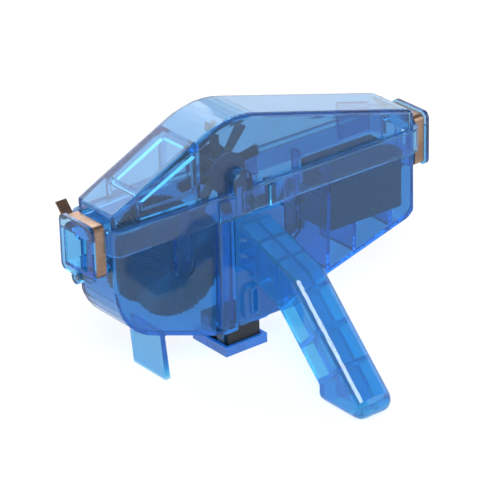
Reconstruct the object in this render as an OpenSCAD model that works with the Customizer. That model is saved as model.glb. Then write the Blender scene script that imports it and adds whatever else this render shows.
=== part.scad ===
// Bike chain cleaner: a case in two halves that closes round a chain.
// X runs along the chain, -Y is the handle's side, and z = 0 is the bench.
// The origin lies under the middle of the magnet foot.

/* [Case] */
// Length of the case between its end walls
case_len = 182.6; // [150:1:240]
// Width of the case at its rim
case_w = 32.4; // [31:0.1:40]
// Width of the case at the sump's floor
floor_w = 27.4; // [24:0.1:30]
// Wall of both case halves
wall = 2; // [1.4:0.1:2.4]
// Distance from the left end to the middle of the foot
foot_in = 76.3; // [72:0.1:80]
// Height of the lower half's rim
rim_z = 86; // [84:0.5:96]
// Height of the sump's floor
floor_z = 14; // [12:0.5:20]
// Distance from the left end to the flat floor
floor_in = 58.3; // [54:0.1:63]
// Length of the flat floor
floor_len = 30; // [27:1:36]
// Angle of the sump's left slope
left_slope = 19.2; // [12:0.2:26]
// Angle of the floor that rises to the right
right_slope = 15.8; // [10:0.2:18]
// Radius of the sump's left end
sump_r = 29; // [18:1:34]
// Radius of the lower right corner
heel_r = 8; // [4:1:12]
// Radius of the case's upright corners
corner_r = 4; // [2:0.5:5]

/* [Cover] */
// Height of the skirt's lower edge
skirt_z = 75.4; // [70:0.2:80]
// Reach of the skirt beyond the lower half
skirt_out = 2.3; // [1.8:0.1:2.3]
// Gap between the skirt and the lower half
skirt_gap = 0.4; // [0.2:0.1:0.6]
// Height of the ledge on top of the skirt
ledge_z = 88; // [87.6:0.1:98]
// Height of the nose at its end
nose_z = 94.6; // [93:0.2:102]
// Width of the nose at its end
nose_w = 27.2; // [24:0.2:31]
// Distance from the left end to the full width
crease_in = 49.3; // [42:0.1:54]
// Distance from the left end to the peak
peak_in = 68.3; // [60:0.1:78]
// Height where the two roof slopes meet
peak_z = 127; // [120:0.5:136]
// Radius of the roof's peak
peak_r = 45; // [20:1:50]
// Height of the roof at its low end
tail_z = 96.6; // [93:0.2:104]
// Radius of the roof's low end
tail_r = 5; // [2:0.5:8]
// Radius of the roof's long edges
edge_r = 3; // [1:0.1:3.2]
// Distance from the left end to the nose's rib
nose_rib_in = 17.2; // [12:0.1:24]
// Thickness of inner ribs and webs
rib = 2; // [1.2:0.1:2.6]
// Depth of the ribs under the roof
rib_deep = 4; // [2:0.5:5]

/* [Chain ports] */
// Half width of a port's opening
port_hw = 8.5; // [7:0.1:8.5]
// Height of the opening's lower edge
port_z0 = 68; // [67.6:0.1:70]
// Height of the opening's upper edge
port_z1 = 85; // [82:0.2:85.4]
// Half width of the neck under the band
neck_hw = 10.75; // [10.2:0.05:11.5]
// Underside of the neck
neck_z0 = 65.2; // [65.2:0.05:66]
// Top of the neck
neck_z1 = 89.3; // [88.4:0.1:92]
// Radius of the neck's upper corners
neck_r = 7.5; // [7:0.1:8]
// Width of the band, along the chain
band_w = 5.9; // [4:0.1:6]
// Thickness of the band's spring steel
band_t = 0.8; // [0.5:0.05:1]
// Gap between the band and the neck
band_gap = 0.25; // [0.15:0.01:0.5]
// Gap over the neck's top
band_top_gap = 0.5; // [0.45:0.01:0.8]
// Clearance beside the band and its knuckle
side_gap = 0.4; // [0.2:0.05:0.6]
// Distance from the end wall to the band
band_in = 2.8; // [2.7:0.1:4]
// Radius of the band's bends
bend_r = 2.5; // [1.6:0.1:3]
// Drop of the band behind the neck
hook_h = 2.2; // [1.5:0.1:2.3]
// Length of the finger tab
tab_len = 8; // [5:0.2:11]
// Lean of the left tab from upright
tab_lean = 44; // [30:1:70]
// Lean of the right tab from upright
tab_lean_right = 78; // [30:1:85]
// Height of the lip beyond the band
lip_over = 1; // [0.4:0.1:1.6]
// Thickness of the lip
lip_t = 2; // [1.4:0.1:3]
// Radius of the lip's corners
lip_r = 3.5; // [2:0.1:4]
// Radius of the hinge pin
pin_r = 1.25; // [0.9:0.05:1.5]
// Running clearance on the pin
pin_fit = 0.06; // [0.03:0.01:0.1]
// Wall of the barrel round the pin
barrel_t = 1.9; // [1.4:0.1:2.2]
// Reach of the outer barrel past the lip
barrel_out = 1.2; // [0.4:0.1:2]

/* [Brushes] */
// Radius of every axle
axle_r = 2.9; // [2:0.1:3.2]
// Clearance round an axle
axle_fit = 0.1; // [0.05:0.01:0.15]
// Wall of the axle pockets
pocket_t = 2.5; // [1.6:0.1:2.6]
// Height of the two lower axles
low_axle_z = 58.2; // [56:0.2:61]
// Distance from the left end to the side brush's axle
side_axle_in = 38.8; // [37:0.1:40.4]
// Distance from the side brush's axle to the lower brush's
low_axle_step = 63.9; // [63.7:0.1:66]
// Distance from the side brush's axle to the top brush's, along the chain
top_axle_step = 33; // [31.5:0.1:33.3]
// Height of the top brush's axle
top_axle_z = 93.4; // [93:0.1:96]
// Radius of the side brush's bristle discs
side_r = 27.3; // [22:0.1:28]
// Radius of the side brush's backing plates
plate_r = 20.5; // [14:0.5:21]
// Radius of the top brush
top_r = 24.4; // [20:0.1:24.4]
// Radius of the lower brush
low_r = 22; // [18:0.1:22]
// Radius of the hubs
hub_r = 6.2; // [5:0.1:7]
// Radius of the hub's end flanges
flange_r = 10.4; // [8:0.1:11]
// Thickness of the flanges and plates
flange_t = 1.2; // [0.8:0.1:1.6]
// Radius of a tuft at its root
tuft_r0 = 2.2; // [1.4:0.1:2.4]
// Radius of a tuft at its tip
tuft_r1 = 3; // [2:0.1:3.2]
// Tufts on the top brush
top_tufts = 8; // [6:1:9]
// Tufts on the lower brush
low_tufts = 9; // [6:1:10]
// Half width between the side brush's plates
plate_y = 6.4; // [5.6:0.1:7]
// Thickness of a bristle disc
disc_t = 4.4; // [3:0.1:4.6]

/* [Sponge] */
// Gap between the sponge and the right end wall
sponge_gap = 4.7; // [1:0.1:8]
// Width of the sponge
sponge_w = 24.4; // [18:0.2:25]
// Height of the sponge's underside
sponge_z0 = 46; // [44:0.5:50]
// Height of the sponge's top
sponge_z1 = 77.5; // [74:0.5:80]
// Width of the slit for the chain
slit_w = 4; // [2:0.5:8]
// Depth of the slit
slit_h = 7; // [4:0.5:12]
// Gap between the lower brush and the bulkhead
bulkhead_gap = 2.2; // [1.6:0.1:5]
// Height of the bulkhead below the chain
bulkhead_z = 66; // [60:0.5:68]

/* [Feet] */
// Length of the magnet tray, along the chain
tray_len = 25.2; // [22:0.2:30]
// Width of the magnet tray
tray_w = 26.6; // [20:0.2:28]
// Height of the tray's rim
tray_h = 5; // [3:0.2:7]
// Wall of the tray
tray_t = 1.6; // [1:0.1:2]
// Width of the magnet
magnet_w = 22.6; // [16:0.2:22.8]
// Thickness of the tray's snap posts
post_t = 1.3; // [1:0.1:1.6]
// Width of a snap post
post_w = 5; // [3:0.5:8]
// Distance from the left end to the leg
leg_in = 29; // [26:0.5:34]
// Thickness of the leg
leg_t = 3; // [2:0.1:4]
// Width of the leg
leg_w = 25.2; // [20:0.2:27]
// Lean of the leg towards the left
leg_lean = 5; // [0:1:8]

/* [Handle] */
// Distance from the left end to the handle's middle
handle_in = 79.7; // [78:0.1:81]
// Width of the handle
handle_w = 20; // [17:0.5:22]
// Wall of the handle's skin
skin = 2.2; // [1.6:0.1:2.8]
// Height of the arm's top at the mounting plate
arm_z = 72; // [68:0.5:72.5]
// Height of the arm's underside at the plate
arm_z0 = 49; // [44:0.5:52]
// Reach of the arm to its bend
arm_reach = 41; // [32:1:46]
// Angle that the arm drops
arm_slope = 19; // [12:1:24]
// Angle that the grip drops
grip_slope = 45; // [40:1:50]
// Thickness of the grip
grip_t = 21.8; // [20:0.2:25]
// Radius of the handle's long edges
grip_r = 4.5; // [3.2:0.1:6]
// Height of the heel behind the toe
heel_z = 9; // [6:0.5:12]
// Radius of the grip's toe
toe_r = 6.6; // [4:0.2:8]
// Radius of the grip's heel
grip_heel_r = 5; // [3:0.5:7]
// Distance between the handle's cross ribs
rib_step = 20; // [12:1:26]
// Width of the mounting plate
plate_w = 29; // [25:0.5:29.4]
// Thickness of the mounting plate
plate_t = 2.6; // [2:0.1:3.4]
// Lower edge of the mounting plate
plate_z0 = 18; // [17:0.5:24]
// Upper edge of the mounting plate
plate_z1 = 73.5; // [72.8:0.1:74.8]
// Distance from the left end to the plate's right edge
plate_in = 96.5; // [95.4:0.1:96.7]
// Width of the upright rail beside the plate
rail_w = 9.6; // [6:0.2:12]

/* [Hidden] */
$fn = 48;
cut = 1;
arc_steps = 7;
full_turn = 360;
quarter_turn = 90;
straight_angle = 0.01;
sliver = 0.01;

half_len = case_len / 2;
half_w = case_w / 2;
half_floor = floor_w / 2;
mid_x = half_len - foot_in;
floor_x0 = floor_in - half_len;
floor_x1 = floor_x0 + floor_len;
crease_x = crease_in - half_len;
peak_x = peak_in - half_len;
side_axle_x = side_axle_in - half_len;
low_axle_x = side_axle_x + low_axle_step;
top_axle_x = side_axle_x + top_axle_step;
bulkhead_x = low_axle_x + low_r + bulkhead_gap + rib / 2;
sponge_x0 = bulkhead_x + rib;
sponge_x1 = half_len - wall - sponge_gap;
sponge_len = sponge_x1 - sponge_x0;
leg_x = leg_in - half_len;
handle_x = handle_in - half_len;
plate_x1 = plate_in - half_len;
skirt_hl = half_len + skirt_out;
skirt_hw = half_w + skirt_out;
skirt_wall = skirt_out - skirt_gap;
split_z = port_z1 - skirt_gap;
roof_top = peak_z + cut;

band_x0 = half_len + band_in;
band_x1 = band_x0 + band_w;
band_hw = neck_hw + band_gap;
band_z1 = neck_z1 + band_top_gap;
knuckle_r = pin_r + pin_fit + band_t;
pin_z = neck_z0 - side_gap - knuckle_r;
barrel_r = pin_r + barrel_t;
lip_x0 = band_x1 + side_gap;
lip_x1 = lip_x0 + lip_t;
lip_hw = band_hw + band_t + lip_over;
lip_z0 = neck_z0 - side_gap - band_t - lip_over;
lip_z1 = band_z1 + band_t + lip_over;

pocket_r = axle_r + axle_fit;
boss_r = pocket_r + pocket_t;
low_axle_hl = half_w - wall / 2 + axle_fit;
top_axle_hl = skirt_hw - wall / 2;
pocket_y = low_axle_hl + axle_fit;
arch_y = top_axle_hl + axle_fit;
boss_y = pocket_y + skirt_wall;
arch_out = arch_y + skirt_wall;
keeper_hw = axle_r - axle_fit;
hub_hl = plate_y + flange_t;

tray_x = -mid_x;
magnet_len = tray_len - 2 * tray_t - 2 * post_t - 2 * axle_fit;
pad_y = half_w + axle_fit;
plate_y0 = pad_y + plate_t;

// Helpers for outlines

function unit(v) = v / norm(v);
function left_of(v) = [-v.y, v.x];

// Point b moved so that both of its edges shift by d to their left
function moved(a, b, c, d) =
    let (m = left_of(unit(b - a)), n = left_of(unit(c - b)))
    b + d * (m + n) / (1 + m * n);

// Arc of radius r that rounds the corner at b
function corner(a, b, c, r) =
    let (u = unit(a - b), v = unit(c - b), half = acos(u * v) / 2)
    r <= 0 || half > quarter_turn - straight_angle ? [b] :
    let (
        mid = b + unit(u + v) * r / sin(half),
        start = b + u * r / tan(half) - mid,
        end = b + v * r / tan(half) - mid,
        from = atan2(start.y, start.x),
        swing = atan2(cross(start, end), start * end)
    )
    [for (i = [0:arc_steps]) mid + r * [cos(from + swing * i / arc_steps), sin(from + swing * i / arc_steps)]];

function ring(p, i) = p[(i + len(p)) % len(p)];
function rounded(p, r) =
    [for (i = [0:len(p) - 1]) each corner(ring(p, i - 1), p[i], ring(p, i + 1), r[i])];
function inset(p, d) = [for (i = [0:len(p) - 1]) moved(ring(p, i - 1), p[i], ring(p, i + 1), d)];
function less(r, d) = [for (x = r) max(0, x - d)];

// One side of a bent strip, at d to the left of its path with radii r
function strip_side(p, r, d) = [
    for (i = [0:len(p) - 1])
        each i == 0 ? [p[0] + d * left_of(unit(p[1] - p[0]))] :
        i == len(p) - 1 ? [p[i] + d * left_of(unit(p[i] - p[i - 1]))] :
        corner(
            moved(i > 1 ? p[i - 2] : 2 * p[0] - p[1], p[i - 1], p[i], d),
            moved(p[i - 1], p[i], p[i + 1], d),
            moved(p[i], p[i + 1], i < len(p) - 2 ? p[i + 2] : 2 * p[i + 1] - p[i], d),
            r[i] - d * sign(cross(p[i] - p[i - 1], p[i + 1] - p[i]))
        )
];
function reversed(p) = [for (i = [len(p) - 1:-1:0]) p[i]];
function strip(p, r, t) = concat(strip_side(p, r, -t / 2), reversed(strip_side(p, r, t / 2)));

function box2(x0, y0, x1, y1) = [[x0, y0], [x1, y0], [x1, y1], [x0, y1]];

module from_mid() {
    translate([mid_x, 0, 0]) children();
}

// Outline in X and Z, spread over y0 to y1
module across(p, y0, y1) {
    translate([0, y1, 0]) rotate([quarter_turn, 0, 0]) linear_extrude(y1 - y0) polygon(p);
}

// Outline in Y and Z, spread over x0 to x1
module along(p, x0, x1) {
    translate([x0, 0, 0]) rotate([quarter_turn, 0, quarter_turn]) linear_extrude(x1 - x0) polygon(p);
}

// Outline in X and Y, spread over z0 to z1
module upright(p, z0, z1) {
    translate([0, 0, z0]) linear_extrude(z1 - z0) polygon(p);
}

module block(x0, x1, y0, y1, z0, z1) {
    translate([x0, y0, z0]) cube([x1 - x0, y1 - y0, z1 - z0]);
}

module both_sides() {
    children();
    mirror([0, 1, 0]) children();
}

module rod_x(r, x0, x1) {
    translate([x0, 0, 0]) rotate([0, quarter_turn, 0]) cylinder(r = r, h = x1 - x0);
}

module rod_y(r, y0, y1) {
    translate([0, y0, 0]) rotate([-quarter_turn, 0, 0]) cylinder(r = r, h = y1 - y0);
}

// Lower case

floor_left_z = floor_z + (half_len + floor_x0) * tan(left_slope);
floor_right_z = floor_z + (half_len - floor_x1) * tan(right_slope);
tub_side = [[-half_len, floor_left_z], [floor_x0, floor_z], [floor_x1, floor_z], [half_len, floor_right_z],
    [half_len, rim_z], [-half_len, rim_z]];
tub_radii = [sump_r, 0, 0, heel_r, 0, 0];
draft = (half_w - half_floor) / (rim_z - floor_z);
function wall_y(z) = half_floor + draft * (z - floor_z);
plan = box2(-half_len, -half_w, half_len, half_w);
four = [1, 1, 1, 1];

// The tub's form, drawn in by d and with its top at z1
module tub_form(d, z1) {
    side = inset(tub_side, d);
    intersection() {
        across(rounded([for (i = [0:5]) i > 3 ? [side[i].x, z1] : side[i]], less(tub_radii, d)),
            -half_w, half_w);
        along([[d - wall_y(floor_z), floor_z], [wall_y(floor_z) - d, floor_z],
            [wall_y(z1) - d, z1], [d - wall_y(z1), z1]], -half_len, half_len);
        upright(rounded(inset(plan, d), (corner_r - d) * four), floor_z, z1);
    }
}

module tub_cavity() {
    tub_form(wall, rim_z + cut);
}

// What lies inside the tub, down to the middle of its walls
module within_tub() {
    intersection() {
        children();
        tub_form(wall / 2, rim_z);
    }
}

neck_low_r = 1;
neck_end = rounded(box2(-neck_hw, neck_z0, neck_hw, neck_z1), [neck_low_r, neck_low_r, neck_r, neck_r]);
lip_end = rounded(box2(-lip_hw, lip_z0, lip_hw, lip_z1), lip_r * four);
port_mid = half_len - wall / 2;
port_end = lip_x1 + barrel_out + cut;

// Neck and lip of the right port, as one closed shape
module port_solid() {
    along(neck_end, port_mid, lip_x0 + lip_t / 2);
    along(lip_end, lip_x0, lip_x1);
}

module port_hole() {
    block(half_len - 2 * wall, port_end, -port_hw, port_hw, port_z0, port_z1);
    block(half_len - 2 * wall, port_end, -neck_hw - skirt_gap, neck_hw + skirt_gap, split_z, rim_z + cut);
}

module lower_port() {
    difference() {
        union() {
            difference() {
                port_solid();
                block(half_len - wall, port_end, -2 * neck_hw, 2 * neck_hw, split_z, lip_z1 + cut);
            }
            translate([0, 0, pin_z]) rod_x(barrel_r, port_mid, band_x0 - side_gap);
            translate([0, 0, pin_z]) rod_x(barrel_r, lip_x0, lip_x1 + barrel_out);
        }
        translate([0, 0, pin_z]) rod_x(pin_r, half_len, port_end);
        translate([0, 0, pin_z]) rod_x(knuckle_r + side_gap, band_x0 - side_gap, lip_x0);
    }
}

module pocket_boss(x) {
    translate([x, 0, low_axle_z]) rod_y(boss_r, -boss_y, -wall_y(floor_z));
    block(x - boss_r, x + boss_r, -boss_y, -wall_y(floor_z), low_axle_z, skirt_z - skirt_gap);
}

module pocket_hole(x) {
    translate([x, 0, low_axle_z]) rod_y(pocket_r, -pocket_y, 0);
    block(x - pocket_r, x + pocket_r, -pocket_y, 0, low_axle_z, rim_z + cut);
}

module bulkhead() {
    difference() {
        block(bulkhead_x - rib / 2, bulkhead_x + rib / 2, -half_w, half_w, 0, split_z - wall);
        block(bulkhead_x - rib, bulkhead_x + rib, -port_hw, port_hw, bulkhead_z, rim_z);
    }
}

leg_top = floor_z + (floor_x0 - leg_x) * tan(left_slope) + wall;
leg_shift = leg_top * tan(leg_lean);
leg_side = [[leg_x - leg_t / 2, 0], [leg_x + leg_t / 2, 0],
    [leg_x + leg_t / 2 - leg_shift, leg_top - leg_t], [leg_x + leg_t * 1.5 - leg_shift, leg_top - leg_t / 2],
    [leg_x + leg_t * 1.5 - leg_shift, leg_top], [leg_x - leg_t / 2 - leg_shift, leg_top]];

module tray_post(side) {
    x = tray_x + side * (tray_len / 2 - tray_t - post_t / 2);
    for (y = [-1, 1] * tray_w / 4)
        block(x - post_t / 2, x + post_t / 2, y - post_w / 2, y + post_w / 2, tray_t, floor_z + wall / 2);
}

rail_x1 = plate_x1 - plate_w - axle_fit;
rail_top = skirt_z - skirt_gap;
rail_r = 2;
rail_tip_r = 0.8;

module front_rail() {
    difference() {
        upright(rounded(box2(rail_x1 - rail_w, -plate_y0, rail_x1, -half_floor + wall), [rail_r, rail_tip_r, 0, 0]),
            floor_z + wall, rail_top);
        block(rail_x1 - rail_w + wall, rail_x1 - wall, -plate_y0 + wall, 0, floor_z + 2 * wall, rim_z);
    }
}

module lower_case() {
    color([0.12, 0.36, 0.78, 0.6]) from_mid() difference() {
        union() {
            difference() {
                union() {
                    tub_form(0, rim_z);
                    both_sides() {
                        pocket_boss(side_axle_x);
                        pocket_boss(low_axle_x);
                    }
                    front_rail();
                    block(rail_x1, plate_x1, -pad_y, -half_floor + wall / 2, plate_z0, plate_z1);
                    across(leg_side, -leg_w / 2, leg_w / 2);
                }
                tub_cavity();
            }
            lower_port();
            mirror([1, 0, 0]) lower_port();
            both_sides()
                block(top_axle_x - keeper_hw, top_axle_x + keeper_hw, -half_w, wall - half_w,
                    rim_z - wall, top_axle_z - axle_r - axle_fit);
            within_tub() bulkhead();
            within_tub() for (share = sponge_rib_shares)
                block(sponge_x0 + sponge_len * share, sponge_x0 + sponge_len * share + rib,
                    -half_w, half_w, 0, sponge_z0);
            tray_post(-1);
            tray_post(1);
        }
        both_sides() {
            pocket_hole(side_axle_x);
            pocket_hole(low_axle_x);
        }
        port_hole();
        mirror([1, 0, 0]) port_hole();
    }
}
sponge_rib_shares = [0.3, 0.8];

// Cover

cover_hw = half_w - skirt_gap / 2;
cover_side = [[-half_len, rim_z], [half_len, rim_z], [half_len, tail_z], [peak_x, peak_z], [-half_len, nose_z]];
cover_radii = [0, 0, tail_r, peak_r, tail_r / 2];
cover_plan = [[-half_len, -nose_w / 2], [crease_x, -cover_hw], [half_len, -cover_hw],
    [half_len, cover_hw], [crease_x, cover_hw], [-half_len, nose_w / 2]];
nose_corner_r = 2;
cover_corners = [nose_corner_r, 0, corner_r, corner_r, 0, nose_corner_r];
skirt_plan = box2(-skirt_hl, -skirt_hw, skirt_hl, skirt_hw);
skirt_corner = corner_r + skirt_out;

// The cover's outline, drawn in by d and with its foot at z0
function cover_outline(d, z0) =
    let (side = inset(cover_side, d))
    rounded([for (i = [0:4]) i < 2 ? [side[i].x, z0] : side[i]], less(cover_radii, d));

// The cover's form, drawn in by d and with its foot at z0
module cover_form(d, z0) {
    intersection() {
        across(cover_outline(d, z0), -half_w, half_w);
        upright(rounded(inset(cover_plan, d), less(cover_corners, d)), z0, roof_top);
    }
}

// The same form with its long edges rounded
module cover_skin() {
    intersection() {
        hull() for (turn = round_turns)
            across(cover_outline(edge_r * (1 - cos(turn)), rim_z - edge_r),
                edge_r * (1 - sin(turn)) - cover_hw, cover_hw - edge_r * (1 - sin(turn)));
        upright(rounded(cover_plan, cover_corners), rim_z, roof_top);
    }
}
round_turns = [0, 0.25, 0.5, 0.75, 1] * quarter_turn;

module within_cover() {
    intersection() {
        children();
        cover_form(wall / 2, rim_z);
    }
}

// Space inside the skirt that the lower case fills
module skirt_room() {
    upright(rounded(inset(skirt_plan, skirt_wall), (skirt_corner - skirt_wall) * four), skirt_z - cut, rim_z);
}

// Rib that follows the inside of the cover, across its width
module roof_rib(x, deep) {
    within_cover() difference() {
        block(x - rib / 2, x + rib / 2, -half_w, half_w, ledge_z, roof_top);
        cover_form(wall + deep, 0);
    }
}

// Ribs under the nose's roof, one beside each wall
nose_rib_x = nose_rib_in - half_len;
module nose_rib() {
    within_cover() difference() {
        block(nose_rib_x, crease_x, -nose_w / 2 - wall, nose_w / 2 + wall, ledge_z, roof_top);
        block(nose_rib_x - cut, crease_x + cut, wall + rib - nose_w / 2, nose_w / 2 - wall - rib, 0, roof_top);
        across(inset(cover_side, wall + rib_deep), -half_w, half_w);
    }
}

// Web that keeps the chain down, in the middle of the cover
web_z0 = low_axle_z + low_r + wall;
web_x0_share = 0.33;
web_x1_share = 0.754;
web_r = 4;
module chain_web() {
    x0 = sponge_x0 + sponge_len * web_x0_share;
    x1 = sponge_x0 + sponge_len * web_x1_share;
    within_cover() across(rounded([[x0, roof_top], [x0, web_z0 + 2 * web_r], [x0 + web_r, web_z0],
        [x1, web_z0], [x1, roof_top]], [0, 0, 0, web_r, 0]), -rib / 2, rib / 2);
}

module arch(r, y0, y1, z0) {
    translate([top_axle_x, 0, top_axle_z]) rod_y(r, -y1, -y0);
    block(top_axle_x - r, top_axle_x + r, -y1, -y0, z0, top_axle_z);
}

module keeper(x) {
    block(x - keeper_hw, x + keeper_hw, 2 * axle_fit - pocket_y, wall + skirt_gap - half_w,
        low_axle_z + axle_r + skirt_gap, rim_z + wall);
}

clip_out = 1.4;
module clip_box(x0, x1) {
    block(x0, x1, -skirt_hw - clip_out, -skirt_hw + skirt_wall / 2, skirt_z, rim_z);
}

module upper_port() {
    intersection() {
        port_solid();
        block(port_mid, port_end, -2 * neck_hw, 2 * neck_hw, split_z, lip_z1 + cut);
    }
    block(half_len - wall, half_len - wall / 4, skirt_gap - port_hw, port_hw - skirt_gap, split_z, ledge_z + wall);
}

// Room in the skirt and in the cover's end for the lower half's neck
module port_gap() {
    block(half_len - wall / 2, skirt_hl + cut, -neck_hw - skirt_gap, neck_hw + skirt_gap, skirt_z - cut, split_z);
}

module upper_case() {
    color([0.16, 0.42, 0.85, 0.55]) from_mid() difference() {
        union() {
            difference() {
                union() {
                    cover_skin();
                    upright(rounded(skirt_plan, skirt_corner * four), skirt_z, ledge_z);
                    both_sides() arch(boss_r, wall, arch_out, skirt_z);
                    clip_box(rail_x1 - rail_w, rail_x1);
                    clip_box(top_axle_x + boss_r * 3, plate_x1);
                }
                cover_form(wall, rim_z - cut);
                skirt_room();
            }
            roof_rib(crease_x, rib_deep);
            roof_rib(nose_rib_x, rib_deep / 2);
            nose_rib();
            chain_web();
            upper_port();
            mirror([1, 0, 0]) upper_port();
            both_sides() {
                keeper(side_axle_x);
                keeper(low_axle_x);
            }
        }
        both_sides() arch(pocket_r, 0, arch_y, skirt_z - cut);
        port_gap();
        mirror([1, 0, 0]) port_gap();
    }
}

// Handle

hx0 = handle_x - handle_w / 2;
hx1 = handle_x + handle_w / 2;
arm_y = -plate_y0 + plate_t / 2;
bend = [arm_y - arm_reach, arm_z - arm_reach * tan(arm_slope)];
toe_y = bend.x - bend.y / tan(grip_slope);
sole_y = toe_y + grip_t / sin(grip_slope);
knee_z = (arm_z0 - tan(arm_slope) * (arm_y - sole_y)) / (1 - tan(arm_slope) / tan(grip_slope));
knee = [sole_y + knee_z / tan(grip_slope), knee_z];
grip_len = bend.y / sin(grip_slope);
heel_y = sole_y + heel_z / tan(grip_slope);
handle_side = [[arm_y, arm_z0], [arm_y, arm_z], bend, [toe_y, 0], [heel_y, 0], [heel_y, heel_z], knee];
handle_radii = [0, 0, 2 * grip_r, toe_r, grip_heel_r, 0, grip_r];

// Outline of the handle's top, its toe and its sole; the other edges lie well behind the handle
top_side = [[0, 0], [0, arm_z - arm_y * tan(arm_slope)], bend, [toe_y, 0]];

// Everything inside that outline, with the long edges rounded
module top_rounding() {
    hull() for (turn = round_turns)
        along(rounded(inset(top_side, grip_r * (1 - cos(turn))),
            less([0, 0, 2 * grip_r, toe_r], grip_r * (1 - cos(turn)))),
            hx0 + grip_r * (1 - sin(turn)), hx1 - grip_r * (1 - sin(turn)));
}

// The hollow inside, which is open along the underside
module hollow() {
    side = inset(handle_side, skin);
    along(rounded([[-plate_y0, arm_z0 - 2 * skin], side[1] + [skin, skin * tan(arm_slope)], side[2], side[3],
        [heel_y - skin, skin], [heel_y - skin, heel_z + skin], [heel_y + 3 * skin, heel_z + skin],
        knee + [3 * skin, -skin]], [0, 0, 2 * grip_r - skin, toe_r - skin, grip_heel_r - skin, 0, 0, 0]),
        hx0 + skin, hx1 - skin);
}

module cross_rib(i) {
    translate([0, bend.x, bend.y]) rotate([grip_slope, 0, 0])
        block(hx0, hx1, -i * rib_step - rib, -i * rib_step, -2 * grip_t, grip_t);
}

module inner_ribs() {
    block(handle_x - rib / 2, handle_x + rib / 2, toe_y, arm_y, 0, arm_z);
    for (i = [0:floor(grip_len / rib_step) - 1]) cross_rib(i + first_rib_share);
    for (share = arm_rib_shares)
        block(hx0, hx1, arm_y - arm_reach * share, arm_y - arm_reach * share + rib, 0, arm_z);
}
first_rib_share = 0.3;
arm_rib_shares = [0.35, 0.68];

plate_corner_r = 2;
slit_hw = 1.4;
slit_half = 5;
slit_mid = [hx0 + handle_w * 0.3, plate_z0 + handle_w * 0.6];
function slit_ring(r) = rounded(box2(slit_mid.x - r, slit_mid.y - slit_half - r, slit_mid.x + r,
    slit_mid.y + slit_half + r), (r - sliver) * four);

module mounting_plate() {
    difference() {
        union() {
            across(rounded(box2(plate_x1 - plate_w, plate_z0, plate_x1, plate_z1), plate_corner_r * four), -plate_y0, -pad_y);
            across(rounded(box2(hx0, plate_z0 + wall, hx1, plate_z0 + handle_w), corner_r * four),
                -plate_y0 - wall, -plate_y0 + plate_t / 2);
            across(slit_ring(slit_hw + rib / 2), -plate_y0 - wall * 1.5, -plate_y0);
        }
        across(slit_ring(slit_hw), -plate_y0 - 2 * wall, -plate_y0 + plate_t / 4);
    }
}

// Small webs that brace the arm against the plate
module gusset(z) {
    upright([[hx0 - wall, arm_y], [hx0 - wall, -plate_y0 - wall], [hx0 + wall, -plate_y0 - 4 * wall],
        [hx1 - wall, -plate_y0 - 4 * wall], [hx1 + wall, -plate_y0 - wall], [hx1 + wall, arm_y]], z, z + rib);
}

module handle() {
    color([0.05, 0.42, 0.85, 0.7]) from_mid() {
        difference() {
            intersection() {
                along(rounded(handle_side, handle_radii), hx0, hx1);
                top_rounding();
            }
            difference() {
                hollow();
                inner_ribs();
            }
        }
        for (i = [1:3]) gusset(arm_z - i * gusset_step);
        mounting_plate();
    }
}
gusset_step = 8.4;

// Latch bands

band_y = band_hw + band_t / 2;
band_low = pin_z + knuckle_r - band_t / 2;
band_high = band_z1 + band_t / 2;

module band_form(lean) {
    fold_z = band_z1 - hook_h + band_t / 2;
    tab_foot = [band_y + 2 * band_t, fold_z];
    path = [[0, band_low], [-band_y, band_low], [-band_y, band_high], [band_y, band_high],
        [band_y, fold_z], tab_foot, tab_foot + tab_len * [sin(lean), cos(lean)]];
    along(strip(path, [0, bend_r, bend_r, bend_r, band_t, band_t], band_t), band_x0, band_x1);
    translate([0, 0, pin_z]) rod_x(knuckle_r, band_x0, band_x1);
}

module latch_band(lean) {
    color("silver") difference() {
        band_form(lean);
        translate([0, 0, pin_z]) rod_x(pin_r + pin_fit, band_x0 - cut, band_x1 + cut);
    }
}

module latch_band_left() {
    from_mid() mirror([1, 0, 0]) latch_band(tab_lean);
}

module latch_band_right() {
    from_mid() latch_band(tab_lean_right);
}

module latch_pin() {
    color("dimgray") translate([0, 0, pin_z]) rod_x(pin_r, half_len, lip_x1 + barrel_out / 2);
}

module latch_pin_left() {
    from_mid() mirror([1, 0, 0]) latch_pin();
}

module latch_pin_right() {
    from_mid() latch_pin();
}

// Magnet foot

module magnet_tray() {
    color([0.08, 0.25, 0.6]) translate([mid_x + tray_x, 0, 0]) difference() {
        block(-tray_len / 2, tray_len / 2, -tray_w / 2, tray_w / 2, 0, tray_h);
        block(tray_t - tray_len / 2, tray_len / 2 - tray_t, tray_t - tray_w / 2, tray_w / 2 - tray_t,
            tray_t, tray_h + cut);
    }
}

module magnet() {
    color([0.08, 0.07, 0.07]) translate([mid_x + tray_x, 0, 0])
        block(-magnet_len / 2, magnet_len / 2, -magnet_w / 2, magnet_w / 2, tray_t, floor_z);
}

// Brushes

module axle(x, z, hl) {
    color([0.1, 0.2, 0.45]) from_mid() translate([x, 0, z]) rod_y(axle_r, -hl, hl);
}

// Sleeve on an axle, over y0 to y1
module sleeve(r, y0, y1) {
    difference() {
        rod_y(r, y0, y1);
        rod_y(axle_r, y0 - cut, y1 + cut);
    }
}

module tufts(count, r) {
    difference() {
        for (i = [0:count - 1])
            rotate([0, full_turn * i / count + tuft_turn, 0]) cylinder(r1 = tuft_r0, r2 = tuft_r1, h = r);
        rod_y(hub_r, -2 * tuft_r1, 2 * tuft_r1);
    }
}
tuft_turn = 37;

module flanges(r, y0) {
    both_sides() difference() {
        rod_y(r, y0, y0 + flange_t);
        rod_y(axle_r, y0 - cut, y0 + flange_t + cut);
    }
}

module top_axle() {
    axle(top_axle_x, top_axle_z, top_axle_hl);
}

module at_top() {
    from_mid() translate([top_axle_x, 0, top_axle_z]) children();
}

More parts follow.
